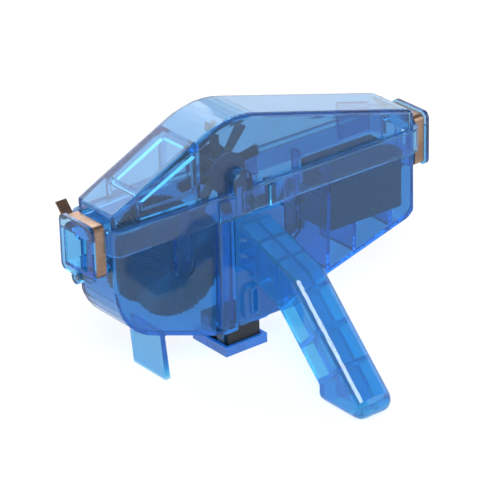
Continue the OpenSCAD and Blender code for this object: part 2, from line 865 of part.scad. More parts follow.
module top_hub() {
    color([0.08, 0.15, 0.35]) at_top() sleeve(hub_r, -plate_y, plate_y);
}

module top_flanges() {
    color([0.08, 0.15, 0.35]) at_top() flanges(flange_r, plate_y);
}

module top_brush() {
    color([0.05, 0.08, 0.2]) at_top() tufts(top_tufts, top_r);
}

module side_axle() {
    axle(side_axle_x, low_axle_z, low_axle_hl);
}

module at_side() {
    from_mid() translate([side_axle_x, 0, low_axle_z]) children();
}

module side_hub() {
    color([0.08, 0.15, 0.35]) at_side() {
        sleeve(hub_r, -plate_y, plate_y);
        both_sides() {
            sleeve(plate_r, plate_y, hub_hl);
            sleeve(hub_r, hub_hl, hub_hl + disc_t);
        }
    }
}

// Ring of bristles outside one backing plate
module side_disc() {
    difference() {
        rod_y(side_r, hub_hl, hub_hl + disc_t);
        rod_y(hub_r, hub_hl - cut, hub_hl + disc_t + cut);
    }
}

module side_disc_front() {
    color([0.05, 0.08, 0.2]) at_side() mirror([0, 1, 0]) side_disc();
}

module side_disc_rear() {
    color([0.05, 0.08, 0.2]) at_side() side_disc();
}

module low_axle() {
    axle(low_axle_x, low_axle_z, low_axle_hl);
}

module at_low() {
    from_mid() translate([low_axle_x, 0, low_axle_z]) children();
}

module low_hub() {
    color([0.08, 0.15, 0.35]) at_low() sleeve(hub_r, -plate_y, plate_y);
}

module low_flanges() {
    color([0.08, 0.15, 0.35]) at_low() flanges(flange_r, plate_y);
}

module low_brush() {
    color([0.05, 0.08, 0.2]) at_low() tufts(low_tufts, low_r);
}

// Sponge

module sponge() {
    color([0.1, 0.1, 0.18]) from_mid() difference() {
        block(sponge_x0, sponge_x1, -sponge_w / 2, sponge_w / 2, sponge_z0, sponge_z1);
        block(bulkhead_x, half_len, -slit_w / 2, slit_w / 2, sponge_z1 - slit_h, sponge_z1 + cut);
    }
}

lower_case();
upper_case();
handle();
latch_band_left();
latch_band_right();
latch_pin_left();
latch_pin_right();
magnet_tray();
magnet();
top_axle();
top_hub();
top_flanges();
top_brush();
side_axle();
side_hub();
side_disc_front();
side_disc_rear();
low_axle();
low_hub();
low_flanges();
low_brush();
sponge();
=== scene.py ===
import math

import bpy
from bpy.props import FloatProperty, FloatVectorProperty, IntProperty, PointerProperty
from bpy.types import Operator, Panel, PropertyGroup
from mathutils import Matrix, Vector, noise


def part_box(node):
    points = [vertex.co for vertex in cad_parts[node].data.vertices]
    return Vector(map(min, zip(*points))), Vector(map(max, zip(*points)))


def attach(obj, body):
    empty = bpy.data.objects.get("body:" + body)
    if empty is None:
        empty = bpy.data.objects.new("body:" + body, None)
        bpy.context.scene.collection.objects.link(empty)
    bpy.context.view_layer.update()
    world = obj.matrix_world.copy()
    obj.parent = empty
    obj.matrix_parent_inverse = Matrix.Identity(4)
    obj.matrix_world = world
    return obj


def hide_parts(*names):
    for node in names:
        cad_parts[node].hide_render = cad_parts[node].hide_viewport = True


bl_info = {
    "name": "Bike Chain Cleaner",
    "version": (1, 0, 0),
    "blender": (4, 5, 0),
    "location": "View3D > Sidebar > Chain Cleaner",
    "description": "Finishes, bristles, sponge and stage of a bike chain cleaner",
    "category": "Object",
}

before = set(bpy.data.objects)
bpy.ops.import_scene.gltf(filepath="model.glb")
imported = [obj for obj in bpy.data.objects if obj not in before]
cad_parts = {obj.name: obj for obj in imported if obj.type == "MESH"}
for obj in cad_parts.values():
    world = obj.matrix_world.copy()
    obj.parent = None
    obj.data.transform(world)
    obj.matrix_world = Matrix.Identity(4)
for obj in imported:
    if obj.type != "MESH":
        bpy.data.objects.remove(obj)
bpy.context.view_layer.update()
MM = 0.001


# Sizes and colours that a user may change

class ChainCleanerPlastics(PropertyGroup):
    """Colours of the moulded plastics"""

    case_tint: FloatVectorProperty(
        name="Lower Case Tint", description="Colour that the lower case lets through",
        subtype="COLOR", default=(0.12, 0.8, 0.935), min=0, max=1)
    case_density: FloatProperty(
        name="Lower Case Density", description="Strength of the lower case's colour, per metre",
        default=260, min=0, max=2000)
    cover_tint: FloatVectorProperty(
        name="Cover Tint", description="Colour that the cover lets through",
        subtype="COLOR", default=(0.1, 0.77, 0.92), min=0, max=1)
    cover_density: FloatProperty(
        name="Cover Density", description="Strength of the cover's colour, per metre",
        default=220, min=0, max=2000)
    handle_tint: FloatVectorProperty(
        name="Handle Tint", description="Colour that the handle lets through",
        subtype="COLOR", default=(0.1, 0.84, 0.945), min=0, max=1)
    handle_density: FloatProperty(
        name="Handle Density", description="Strength of the handle's colour, per metre",
        default=340, min=0, max=2000)
    tray_colour: FloatVectorProperty(
        name="Tray Colour", description="Colour of the opaque magnet tray",
        subtype="COLOR", default=(0.008, 0.12, 0.42), min=0, max=1)
    hub_colour: FloatVectorProperty(
        name="Hub Colour", description="Colour of the axles, hubs and backing plates",
        subtype="COLOR", default=(0.006, 0.018, 0.065), min=0, max=1)


class ChainCleanerBristles(PropertyGroup):
    """Sizes of the brushes' bristles"""

    thickness: FloatProperty(
        name="Bristle Thickness", description="Radius of one bristle",
        default=0.3 * MM, min=0.1 * MM, max=1 * MM, unit="LENGTH", precision=5)
    per_tuft: IntProperty(
        name="Bristles per Tuft", description="Bristles in each tuft of the star brushes",
        default=90, min=10, max=400)
    per_disc: IntProperty(
        name="Bristles per Disc", description="Bristles in each disc of the side brush",
        default=2600, min=200, max=8000)
    colour: FloatVectorProperty(
        name="Bristle Colour", description="Colour of the nylon bristles",
        subtype="COLOR", default=(0.006, 0.012, 0.045), min=0, max=1)


class ChainCleanerSponge(PropertyGroup):
    """Look of the sponge"""

    voxel: FloatProperty(
        name="Mesh Size", description="Size of the sponge's mesh faces",
        default=0.8 * MM, min=0.4 * MM, max=2 * MM, unit="LENGTH", precision=5)
    pore_depth: FloatProperty(
        name="Pore Depth", description="Depth of the open cells at the surface",
        default=0.5 * MM, min=0, max=1 * MM, unit="LENGTH", precision=5)
    colour: FloatVectorProperty(
        name="Sponge Colour", description="Colour of the foam",
        subtype="COLOR", default=(0.012, 0.016, 0.04), min=0, max=1)


class ChainCleanerStage(PropertyGroup):
    """Camera and light; the camera's place and lens were fitted to the photo's outline"""

    azimuth: FloatProperty(
        name="Azimuth", description="Turn of the camera round the part",
        default=math.radians(-37.68), subtype="ANGLE")
    elevation: FloatProperty(
        name="Elevation", description="Height of the camera over the horizon",
        default=math.radians(25.94), subtype="ANGLE")
    roll: FloatProperty(
        name="Roll", description="Roll of the camera",
        default=math.radians(-1.477), subtype="ANGLE")
    distance: FloatProperty(
        name="Distance", description="Distance from the camera to its target",
        default=1450.283 * MM, unit="LENGTH")
    target: FloatVectorProperty(
        name="Target", description="Point at the middle of the picture",
        default=(13.692 * MM, 0, 44.371 * MM), subtype="TRANSLATION", precision=5)
    lens: FloatProperty(name="Lens", description="Focal length in millimetres", default=216)
    world_light: FloatProperty(
        name="World Light", description="Strength of the light from all round",
        default=0.62, min=0)
    gloss_light: FloatProperty(
        name="Gloss Light", description="Strength of the surroundings in reflections",
        default=0.25, min=0)
    backdrop_light: FloatProperty(
        name="Backdrop Light", description="Strength of the white backdrop in reflections",
        default=1.5, min=0)
    key_light: FloatProperty(
        name="Key Light", description="Power of the main lamp", default=17, min=0, unit="POWER")
    floor_glow: FloatProperty(
        name="Floor White", description="Share of the floor that shows as plain white",
        default=0.72, min=0, max=1)


# Node helpers

# Ranges of a noise texture's values: nearly all of them, and the middle ones
NOISE = (0.3, 0.7)
MIDDLE = (0.35, 0.65)


def feed(tree, socket, value):
    """Links a socket to another one, or sets it to a value."""
    if isinstance(value, bpy.types.NodeSocket):
        tree.links.new(value, socket)
    else:
        socket.default_value = value


def add(tree, kind, **sockets):
    """Adds a node and feeds its inputs, with _ for each space in their names."""
    node = tree.nodes.new(kind)
    for name, value in sockets.items():
        feed(tree, node.inputs[name.replace("_", " ")], value)
    return node


def made(tree, kind, **sockets):
    """Adds a node and gives its first output."""
    return add(tree, kind, **sockets).outputs[0]


def maths(tree, operation, a, b=0.0, c=0.0):
    """Adds a Math node and gives its value."""
    node = tree.nodes.new("ShaderNodeMath")
    node.operation = operation
    for socket, value in zip(node.inputs, (a, b, c)):
        feed(tree, socket, value)
    return node.outputs[0]


def spread(tree, value, source, target=(0.0, 1.0)):
    """Maps a value from the source range to the target range, and keeps it in there."""
    return made(tree, "ShaderNodeMapRange", Value=value, From_Min=source[0], From_Max=source[1],
                To_Min=target[0], To_Max=target[1])


def blend_colours(tree, share, a, b):
    """Goes from colour a to colour b as the share goes from 0 to 1."""
    node = tree.nodes.new("ShaderNodeMix")
    node.data_type = "RGBA"
    feed(tree, node.inputs["Factor"], share)
    feed(tree, node.inputs["A"], a)
    feed(tree, node.inputs["B"], b)
    return node.outputs["Result"]


def mix_shaders(tree, share, first, second):
    """Goes from the first shader to the second as the share goes from 0 to 1."""
    node = tree.nodes.new("ShaderNodeMixShader")
    for socket, value in zip(node.inputs, (share, first, second)):
        feed(tree, socket, value)
    return node.outputs[0]


def own_place(tree):
    """The object's own coordinates, in metres."""
    return tree.nodes.new("ShaderNodeTexCoord").outputs["Object"]


def cloud(tree, where, scale, detail):
    """Adds a noise texture and gives its value."""
    return made(tree, "ShaderNodeTexNoise", Vector=where, Scale=scale, Detail=detail)


def rgba(colour, factor=1.0):
    """A colour with an alpha of 1, darker or lighter by a factor."""
    return (*(min(1.0, c * factor) for c in colour), 1.0)


def group_of(name, inputs, outputs, build):
    """A shader node group, built once."""
    tree = bpy.data.node_groups.get(name)
    if tree is None:
        tree = bpy.data.node_groups.new(name, "ShaderNodeTree")
        for label, kind, value in inputs:
            socket = tree.interface.new_socket(name=label, in_out="INPUT", socket_type=kind)
            socket.default_value = value
        for label, kind in outputs:
            tree.interface.new_socket(name=label, in_out="OUTPUT", socket_type=kind)
        given = tree.nodes.new("NodeGroupInput").outputs
        build(tree, given, tree.nodes.new("NodeGroupOutput").inputs)
    return tree


def place(tree, group, **values):
    """Adds a group to a material, feeds its inputs and gives its outputs."""
    node = tree.nodes.new("ShaderNodeGroup")
    node.node_tree = group
    for name, value in values.items():
        feed(tree, node.inputs[name], value)
    return node.outputs


# Materials

# Turn and scale of the coordinates along which scratches run
SCRATCH_TURN = (0.4, 0.2, 0.9)
SCRATCH_SCALE = (40.0, 900.0, 700.0)
# Only the peaks of the noise make scratches
SCRATCH_PEAKS = (0.68, 0.76)
# Heights of the grain and of a scratch against a ripple's height
GRAIN_HEIGHT = 0.12
SCRATCH_HEIGHT = -0.05


def moulded_skin():
    """Soft ripples, fine grain and handling scratches of injection-moulded plastic."""
    def build(tree, given, out):
        where = own_place(tree)
        ripple = cloud(tree, where, given["Ripple"], detail=2.0)
        grain = cloud(tree, where, given["Grain"], detail=3.0)
        squeezed = made(tree, "ShaderNodeMapping", Vector=where, Rotation=SCRATCH_TURN,
                        Scale=SCRATCH_SCALE)
        lines = spread(tree, cloud(tree, squeezed, scale=1.0, detail=2.0), SCRATCH_PEAKS)
        rough = spread(tree, grain, NOISE, target=(-0.5, 0.5))
        rough = maths(tree, "MULTIPLY_ADD", rough, given["Variation"], given["Roughness"])
        feed(tree, out["Roughness"], maths(tree, "MULTIPLY_ADD", lines, given["Scratches"], rough))
        height = maths(tree, "MULTIPLY_ADD", grain, GRAIN_HEIGHT, ripple)
        feed(tree, out["Height"], maths(tree, "MULTIPLY_ADD", lines, SCRATCH_HEIGHT, height))
        feed(tree, out["Mask"], ripple)

    number = "NodeSocketFloat"
    return group_of(
        "Moulded Skin",
        [("Roughness", number, 0.1), ("Variation", number, 0.05), ("Scratches", number, 0.05),
         ("Ripple", number, 40.0), ("Grain", number, 900.0)],
        [("Roughness", number), ("Height", number), ("Mask", number)], build)


def brushed_grain():
    """Fine parallel lines left by rolling or brushing metal."""
    def build(tree, given, out):
        where = own_place(tree)
        squeezed = made(tree, "ShaderNodeMapping", Vector=where, Scale=given["Stretch"])
        feed(tree, out["Lines"], cloud(tree, squeezed, scale=1.0, detail=4.0))
        feed(tree, out["Stains"], cloud(tree, where, given["Stains"], detail=3.0))

    return group_of(
        "Brushed Grain",
        [("Stretch", "NodeSocketVector", (60.0, 1500.0, 1500.0)),
         ("Stains", "NodeSocketFloat", 90.0)],
        [("Lines", "NodeSocketFloat"), ("Stains", "NodeSocketFloat")], build)


def new_material(name):
    """A material with a Principled shader on its output."""
    mat = bpy.data.materials.new(name)
    mat.use_nodes = True
    tree = mat.node_tree
    tree.nodes.clear()
    out = tree.nodes.new("ShaderNodeOutputMaterial")
    shader = tree.nodes.new("ShaderNodeBsdfPrincipled")
    tree.links.new(shader.outputs[0], out.inputs["Surface"])
    return mat, tree, shader, out


def finish(tree, shader, colour, roughness, **values):
    """Feeds a Principled shader, with _ for each space in the names of its inputs."""
    for name, value in (("Base_Color", colour), ("Roughness", roughness), *values.items()):
        feed(tree, shader.inputs[name.replace("_", " ")], value)


def bump(tree, shader, height, strength, distance):
    """Roughens a shader's surface by a height."""
    normal = made(tree, "ShaderNodeBump", Strength=strength, Distance=distance, Height=height)
    tree.links.new(normal, shader.inputs["Normal"])


# Index of refraction of the clear plastic, low so that its edges aren't lost to reflections
CLEAR_IOR = 1.38
# What a shadow ray keeps at each surface of the clear plastic
SHADOW_TINT = (0.93, 0.97, 1.0)


def clear_plastic(name, tint, density, surface, roughness, transmission):
    """Tinted clear plastic, whose colour deepens with the depth of material behind its surface."""
    mat, tree, shader, out = new_material(name)
    skin = place(tree, moulded_skin(), Roughness=roughness, Variation=0.03, Scratches=0.06,
                 Ripple=38.0, Grain=800.0)
    tone = blend_colours(tree, spread(tree, skin["Mask"], MIDDLE), rgba(surface),
                         rgba(surface, 1.06))
    finish(tree, shader, tone, skin["Roughness"], IOR=CLEAR_IOR, Transmission_Weight=transmission)
    bump(tree, shader, skin["Height"], strength=0.12, distance=0.5 * MM)
    clear = made(tree, "ShaderNodeBsdfTransparent", Color=rgba(SHADOW_TINT))
    path = tree.nodes.new("ShaderNodeLightPath").outputs
    tree.links.new(mix_shaders(tree, path["Is Shadow Ray"], shader.outputs[0], clear),
                   out.inputs["Surface"])
    depth = made(tree, "ShaderNodeVolumeAbsorption", Color=rgba(tint), Density=density)
    tree.links.new(depth, out.inputs["Volume"])
    return mat


def solid_plastic(name, colour, roughness, coat):
    """Opaque moulded plastic."""
    mat, tree, shader, out = new_material(name)
    skin = place(tree, moulded_skin(), Roughness=roughness, Variation=0.12, Scratches=0.1,
                 Ripple=60.0, Grain=1400.0)
    tone = blend_colours(tree, spread(tree, skin["Mask"], NOISE), rgba(colour, 0.8),
                         rgba(colour, 1.15))
    finish(tree, shader, tone, skin["Roughness"], Coat_Weight=coat, Coat_Roughness=0.12)
    bump(tree, shader, skin["Height"], strength=0.25, distance=0.1 * MM)
    return mat


# How much the lines in metal vary its brightness and its roughness
LINE_SHADE = (0.93, 1.05)
LINE_SMOOTHER, LINE_ROUGHER = 0.04, 0.05


def brushed_metal(name, dark, light, roughness, stretch):
    """Rolled or drawn steel, with stains between two colours and fine lines."""
    mat, tree, shader, out = new_material(name)
    grain = place(tree, brushed_grain(), Stretch=stretch, Stains=70.0)
    tone = blend_colours(tree, spread(tree, grain["Stains"], NOISE), rgba(dark), rgba(light))
    shade = add(tree, "ShaderNodeVectorMath")
    shade.operation = "SCALE"
    feed(tree, shade.inputs[0], tone)
    feed(tree, shade.inputs["Scale"], spread(tree, grain["Lines"], NOISE, LINE_SHADE))
    rough = spread(tree, grain["Lines"], NOISE,
                   (roughness - LINE_SMOOTHER, roughness + LINE_ROUGHER))
    finish(tree, shader, shade.outputs[0], rough, Metallic=1.0)
    bump(tree, shader, grain["Lines"], strength=0.15, distance=0.05 * MM)
    return mat


# Values of the noise between which bristles go from fresh to worn
WORN = (0.35, 0.7)


def nylon(name, colour):
    """Dark nylon bristles, a little lighter where they are worn."""
    mat, tree, shader, out = new_material(name)
    clumps = cloud(tree, own_place(tree), scale=420.0, detail=3.0)
    tone = blend_colours(tree, spread(tree, clumps, WORN), rgba(colour, 0.6), rgba(colour, 2.2))
    rough = spread(tree, clumps, NOISE, target=(0.42, 0.6))
    finish(tree, shader, tone, rough, Sheen_Weight=0.15)
    return mat


# Distances from a cell's middle between which the foam goes from pit to wall, in height and from
# painted shade in the pit to a lighter cell wall
CELL_WALL_AND_PIT_SHADE = (0.1, 0.55)
# Only the peaks of the noise make painted highlights, pale specks where cells catch the light, and
# they stay half clear
PAINTED_GLINT_PEAKS = (0.6, 0.68)
PAINTED_GLINT_SHARE = (0.0, 0.5)


def foam(name, colour):
    """Open-cell foam with painted shade in its pits and painted highlights, pale specks where cells
    catch the light.
    """
    mat, tree, shader, out = new_material(name)
    where = own_place(tree)
    cells = made(tree, "ShaderNodeTexVoronoi", Vector=where, Scale=900.0)
    blots = cloud(tree, where, scale=350.0, detail=4.0)
    wall_height_and_pit_shade = spread(tree, cells, CELL_WALL_AND_PIT_SHADE)
    # painted shade: each pit is darker, each cell wall lighter
    tone = blend_colours(tree, wall_height_and_pit_shade, rgba(colour, 0.35), rgba(colour, 1.6))
    painted_glints = spread(tree, blots, PAINTED_GLINT_PEAKS, PAINTED_GLINT_SHARE)
    # painted highlights: pale specks where cells catch the light
    tone = blend_colours(tree, painted_glints, tone, rgba(colour, 5.0))
    finish(tree, shader, tone, spread(tree, blots, NOISE, target=(0.8, 0.98)))
    bump(tree, shader, wall_height_and_pit_shade, strength=0.8, distance=0.4 * MM)
    return mat


def dress(node, material):
    """Puts a finish on a solid of the frame."""
    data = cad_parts[node].data
    data.materials.clear()
    data.materials.append(material)


# Bristles

BRISTLE_INPUTS = (
    ("Bundles", "Int"), ("Per Bundle", "Int"), ("Turn", "Float"), ("Centre", "Vector"),
    ("Root Radius", "Float"), ("Tip Radius", "Float"), ("Root Spread", "Float"),
    ("Tip Spread", "Float"), ("Root Width", "Float"), ("Tip Width", "Float"), ("Middle", "Float"),
    ("Thickness", "Float"), ("Ragged", "Float"), ("Seed", "Int"), ("Material", "Material"))

# Random Value has inputs and outputs of the same name for each kind of data: these are the floats'
RANDOM_MIN, RANDOM_MAX, RANDOM_RESULT = 2, 3, 1

# A bristle's number of sides, and its tip's radius as a share of its root's
BRISTLE_SIDES = 4
BRISTLE_TIP = 0.45


def bristle_tree():
    """Bundles of tapered bristles round a hub that lies along Y, built once."""
    tree = bpy.data.node_groups.get("Bristle Bundles")
    if tree is not None:
        return tree
    tree = bpy.data.node_groups.new("Bristle Bundles", "GeometryNodeTree")
    tree.is_modifier = True
    geometry = "NodeSocketGeometry"
    tree.interface.new_socket(name="Geometry", in_out="INPUT", socket_type=geometry)
    for name, kind in BRISTLE_INPUTS:
        tree.interface.new_socket(name=name, in_out="INPUT", socket_type="NodeSocket" + kind)
    tree.interface.new_socket(name="Geometry", in_out="OUTPUT", socket_type=geometry)
    given = tree.nodes.new("NodeGroupInput").outputs
    out = tree.nodes.new("NodeGroupOutput").inputs

    def calc(operation, *values):
        return maths(tree, operation, *values)

    def chance(low, high, step):
        """A random value for each bristle."""
        node = add(tree, "FunctionNodeRandomValue", Seed=calc("ADD", given["Seed"], float(step)))
        feed(tree, node.inputs[RANDOM_MIN], low)
        feed(tree, node.inputs[RANDOM_MAX], high)
        return node.outputs[RANDOM_RESULT]

    # Each bristle's bundle, its place in the bundle's round foot, and its length
    index = made(tree, "GeometryNodeInputIndex")
    bundle = calc("FLOOR", calc("DIVIDE", calc("ADD", index, 0.5), given["Per Bundle"]))
    angle = calc("MULTIPLY_ADD", calc("DIVIDE", bundle, given["Bundles"]), math.tau, given["Turn"])
    swing = chance(0.0, math.tau, 1)
    reach = calc("SQRT", chance(0.0, 1.0, 2))
    side = calc("MULTIPLY", reach, calc("COSINE", swing))
    along = calc("MULTIPLY", reach, calc("SINE", swing))
    kept = calc("SUBTRACT", 1.0, calc("MULTIPLY", given["Ragged"], chance(0.0, 1.0, 3)))
    length = calc("MULTIPLY", calc("SUBTRACT", given["Tip Radius"], given["Root Radius"]), kept)

    # Its foot, turned round the hub
    foot = made(tree, "ShaderNodeCombineXYZ", X=calc("MULTIPLY", side, given["Root Spread"]),
                Y=calc("MULTIPLY_ADD", along, given["Root Width"], given["Middle"]),
                Z=given["Root Radius"])
    spin = add(tree, "ShaderNodeVectorRotate", Vector=foot, Angle=angle)
    spin.rotation_type = "Y_AXIS"
    at = tree.nodes.new("ShaderNodeVectorMath")
    feed(tree, at.inputs[0], spin.outputs[0])
    feed(tree, at.inputs[1], given["Centre"])
    count = calc("MULTIPLY", given["Bundles"], given["Per Bundle"])
    points = made(tree, "GeometryNodeSetPosition", Position=at.outputs[0],
                  Geometry=made(tree, "GeometryNodePoints", Count=count))

    def lean(offset, tip, root):
        """The angle by which a bristle leans out from its root to its tip."""
        return calc("ARCTAN2", calc("MULTIPLY", offset, calc("SUBTRACT", tip, root)), length)

    sideways = lean(side, given["Tip Spread"], given["Root Spread"])
    outwards = lean(along, given["Tip Width"], given["Root Width"])
    turn = made(tree, "ShaderNodeCombineXYZ", X=calc("MULTIPLY", outwards, -1.0),
                Y=calc("ADD", angle, sideways))

    cone = add(tree, "GeometryNodeMeshCone", Vertices=BRISTLE_SIDES, Radius_Top=BRISTLE_TIP,
               Radius_Bottom=1.0, Depth=1.0)
    cone.fill_type = "NGON"
    size = made(tree, "ShaderNodeCombineXYZ", X=given["Thickness"], Y=given["Thickness"], Z=length)
    stand = made(tree, "GeometryNodeInstanceOnPoints", Points=points, Instance=cone.outputs["Mesh"],
                 Rotation=made(tree, "FunctionNodeEulerToRotation", Euler=turn), Scale=size)
    real = made(tree, "GeometryNodeRealizeInstances", Geometry=stand)
    feed(tree, out[0], made(tree, "GeometryNodeSetMaterial", Geometry=real,
                            Material=given["Material"]))
    return tree


def modified_mesh(name, mesh, kind, prepare):
    """Runs one modifier on a mesh and gives the result as a plain mesh."""
    seed = bpy.data.objects.new(name + "_seed", mesh)
    bpy.context.scene.collection.objects.link(seed)
    prepare(seed.modifiers.new("Maker", kind))
    bpy.context.view_layer.update()
    graph = bpy.context.evaluated_depsgraph_get()
    result = bpy.data.meshes.new_from_object(seed.evaluated_get(graph))
    bpy.data.objects.remove(seed)
    if not result.polygons:
        raise RuntimeError(name + " came out empty")
    return result


def new_piece(name, mesh):
    """A visible object with a mesh."""
    piece = bpy.data.objects.new(name, mesh)
    bpy.context.scene.collection.objects.link(piece)
    return piece


def grow(name, tree, values):
    """Makes bristles with a geometry node tree, as a plain mesh."""
    def prepare(modifier):
        modifier.node_group = tree
        for item in tree.interface.items_tree:
            if item.in_out == "INPUT" and item.name in values:
                modifier[item.identifier] = values[item.name]

    mesh = modified_mesh(name, bpy.data.meshes.new(name + "_seed"), "NODES", prepare)
    mesh.name = name
    return new_piece(name, mesh)


# Operators

class CHAINCLEANER_OT_case(Operator):
    """Finish the lower case, the cover and the handle in clear blue plastic"""

    bl_idname = "chain_cleaner.case"
    bl_label = "Case and Handle"

    def execute(self, context):
        own = context.scene.chain_cleaner_plastics
        dress("lower_case", clear_plastic(
            "Clear Blue Lower Case", own.case_tint, own.case_density,
            surface=(0.25, 0.47, 0.74), roughness=0.015, transmission=0.955))
        dress("upper_case", clear_plastic(
            "Clear Blue Cover", own.cover_tint, own.cover_density,
            surface=(0.44, 0.555, 0.73), roughness=0.01, transmission=0.97))
        dress("handle", clear_plastic(
            "Clear Blue Handle", own.handle_tint, own.handle_density,
            surface=(0.16, 0.48, 0.75), roughness=0.02, transmission=0.88))
        return {"FINISHED"}


class CHAINCLEANER_OT_bands(Operator):
    """Finish the latch bands and their pins in steel"""

    bl_idname = "chain_cleaner.bands"
    bl_label = "Latch Bands"

    def execute(self, context):
        steel = brushed_metal("Bronze Spring Steel", dark=(0.22, 0.14, 0.1), light=(0.4, 0.27, 0.2),
                              roughness=0.3, stretch=(60.0, 1500.0, 1500.0))
        pin = brushed_metal("Pin Steel", dark=(0.3, 0.3, 0.31), light=(0.5, 0.5, 0.5),
                            roughness=0.3, stretch=(90.0, 1200.0, 1200.0))
        for side in ("left", "right"):
            dress("latch_band_" + side, steel)
            dress("latch_pin_" + side, pin)
        return {"FINISHED"}


class CHAINCLEANER_OT_foot(Operator):
    """Finish the magnet tray and the magnet"""

    bl_idname = "chain_cleaner.foot"
    bl_label = "Magnet Foot"

    def execute(self, context):
        own = context.scene.chain_cleaner_plastics
        dress("magnet_tray", solid_plastic("Solid Blue Tray", own.tray_colour, roughness=0.3,
                                           coat=0.4))
        dress("magnet", solid_plastic("Black Magnet", (0.008, 0.008, 0.009), roughness=0.5,
                                      coat=0.0))
        return {"FINISHED"}


class CHAINCLEANER_OT_hubs(Operator):
    """Finish the axles, hubs, flanges and backing plates"""

    bl_idname = "chain_cleaner.hubs"
    bl_label = "Axles and Hubs"

    def execute(self, context):
        own = context.scene.chain_cleaner_plastics
        hub = solid_plastic("Dark Blue Hubs", own.hub_colour, roughness=0.35, coat=0.1)
        for node in ("top_axle", "top_hub", "top_flanges", "side_axle", "side_hub",
                     "low_axle", "low_hub", "low_flanges"):
            dress(node, hub)
        return {"FINISHED"}


# Piece, node, body, hub, number of tufts and seed of each star brush
STAR_BRUSHES = (("top_tufts", "top_brush", "top_spinner", "top_hub", 8, 30),
                ("low_tufts", "low_brush", "low_spinner", "low_hub", 9, 40))
# Piece, node and seed of each bristle disc
BRISTLE_DISCS = (("side_bristles_front", "side_disc_front", 70),
                 ("side_bristles_rear", "side_disc_rear", 80))

# Sizes of the tufts and discs; the tufts' turn is that of the solids' tufts
TUFT = {"Turn": math.radians(37), "Root Spread": 1.7 * MM, "Tip Spread": 2.9 * MM,
        "Root Width": 1.7 * MM, "Tip Width": 2.5 * MM, "Middle": 0.0, "Ragged": 0.12}
DISC = {"Per Bundle": 1, "Turn": 0.0, "Root Radius": 6.3 * MM, "Root Spread": 0.3 * MM,
        "Tip Spread": 1.6 * MM, "Ragged": 0.1}
# Where a tuft starts in its hub, and how far bristles reach, as shares of the solids' radii
TUFT_START, TUFT_REACH, DISC_REACH = 0.97, 0.985, 0.99
# A disc's width at its root as a share of its width at the tips
DISC_ROOT_WIDTH = 0.9
# A disc's bristles are thicker than a tuft's
DISC_BRISTLE = 1.4


def half_span(node, axis):
    """Half the length of a node's box along an axis."""
    low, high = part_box(node)
    return (high[axis] - low[axis]) / 2


def middle_of(node):
    """Middle of a node's box."""
    low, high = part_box(node)
    return (low + high) / 2


class CHAINCLEANER_OT_bristles(Operator):
    """Grow the star brushes' tufts and the side brush's bristle discs"""

    bl_idname = "chain_cleaner.bristles"
    bl_label = "Bristles"

    def execute(self, context):
        own = context.scene.chain_cleaner_bristles
        black = nylon("Navy Nylon", own.colour)
        tree = bristle_tree()
        for name, node, body, hub, tufts, seed in STAR_BRUSHES:
            piece = grow(name, tree, {
                **TUFT, "Bundles": tufts, "Per Bundle": own.per_tuft, "Centre": middle_of(hub),
                "Root Radius": half_span(hub, 0) * TUFT_START,
                "Tip Radius": half_span(node, 0) * TUFT_REACH,
                "Thickness": own.thickness, "Seed": seed, "Material": black})
            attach(piece, body)
            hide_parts(node)
        axle = middle_of("side_hub")
        for name, node, seed in BRISTLE_DISCS:
            half = half_span(node, 1) - own.thickness
            piece = grow(name, tree, {
                **DISC, "Bundles": own.per_disc, "Centre": Vector((axle.x, 0, axle.z)),
                "Tip Radius": half_span(node, 0) * DISC_REACH,
                "Root Width": half * DISC_ROOT_WIDTH, "Tip Width": half,
                "Middle": middle_of(node).y, "Thickness": own.thickness * DISC_BRISTLE,
                "Seed": seed, "Material": black})
            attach(piece, "side_spinner")
            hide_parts(node)
        return {"FINISHED"}


# Width of the foam's pores, and how much finer and shallower the small pores between them are
PORE_SIZE = 1.6 * MM
SMALL_PORES = 2.3
SMALL_DEPTH = 0.5
# Depth of the skin that is taken off between pores, as a share of the pores' depth
SKIN_DEPTH = 0.15


class CHAINCLEANER_OT_sponge(Operator):
    """Make the foam block with its open cells and its slit"""

    bl_idname = "chain_cleaner.sponge"
    bl_label = "Sponge"

    def execute(self, context):
        own = context.scene.chain_cleaner_sponge

        def prepare(remesh):
            remesh.mode = "VOXEL"
            remesh.voxel_size = own.voxel

        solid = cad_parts["sponge"].data.copy()
        mesh = modified_mesh("sponge", solid, "REMESH", prepare)
        for vertex, normal in zip(mesh.vertices, [v.normal.copy() for v in mesh.vertices]):
            spot = Vector(vertex.co) / PORE_SIZE
            small = SMALL_DEPTH * max(0.0, noise.noise(spot * SMALL_PORES))
            pit = max(0.0, noise.noise(spot)) + small
            vertex.co -= normal * own.pore_depth * (SKIN_DEPTH + pit)
        mesh.materials.clear()
        mesh.materials.append(foam("Dark Foam", own.colour))
        piece = new_piece("foam_block", mesh)
        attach(piece, "case")
        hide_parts("sponge")
        return {"FINISHED"}


# A ray meets up to 20 faces of clear plastic on its way through the case
LIGHT_BOUNCES = 32

# Name, place, width and share of the key light's power of each lamp
LAMPS = (("key_lamp", (-0.55, -0.75, 1.1), 0.5, 1.0),
         ("fill_lamp", (1.15, -0.75, 0.3), 1.0, 0.45),
         ("rim_lamp", (0.1, 1.0, 0.9), 1.1, 0.6))

# Where the surroundings in reflections turn from dim to the white backdrop, from front to rear
BACKDROP_EDGE = (0.35, 0.72)

WHITE = (1, 1, 1, 1)
FLOOR_GREY = (0.86, 0.86, 0.86, 1)
FLOOR_REACH = 4.0


def seen(tree):
    """1 for rays that come from the camera, straight or by gloss or glass."""
    path = tree.nodes.new("ShaderNodeLightPath").outputs
    gloss = maths(tree, "MAXIMUM", path["Is Glossy Ray"], path["Is Transmission Ray"])
    return maths(tree, "MAXIMUM", path["Is Camera Ray"], gloss)


